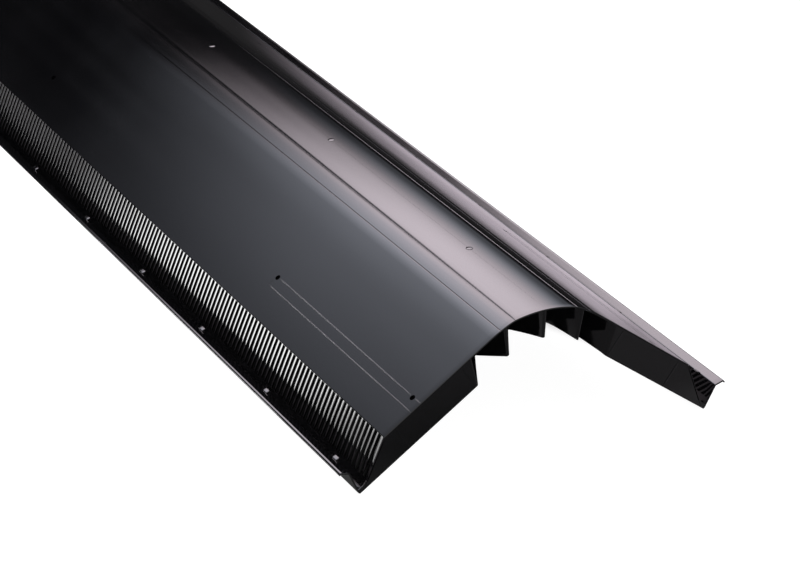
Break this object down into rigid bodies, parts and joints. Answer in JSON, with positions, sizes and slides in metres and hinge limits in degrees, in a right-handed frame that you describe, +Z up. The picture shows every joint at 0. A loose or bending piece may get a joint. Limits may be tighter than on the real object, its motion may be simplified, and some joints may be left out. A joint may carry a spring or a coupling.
{
  "type": "ridge vent",
  "caption": "Long moulded plastic ridge vent bent over a roof ridge, with louvred walls, rain troughs and upturned baffles along both edges and pleated end closures.",
  "frame": {"origin": "middle of the length, on the ridge plane, at the level of the two baffle feet it stands on", "axes": "+Y along the ridge, +X across it, +Z up"},
  "size_m": [0.305, 1.2192, 0.1073],
  "materials": {
    "black_plastic": "satin black moulded polypropylene"
  },
  "bodies": {
    "root": {"vent_moulding": "black_plastic"}
  },
  "joints": []
}
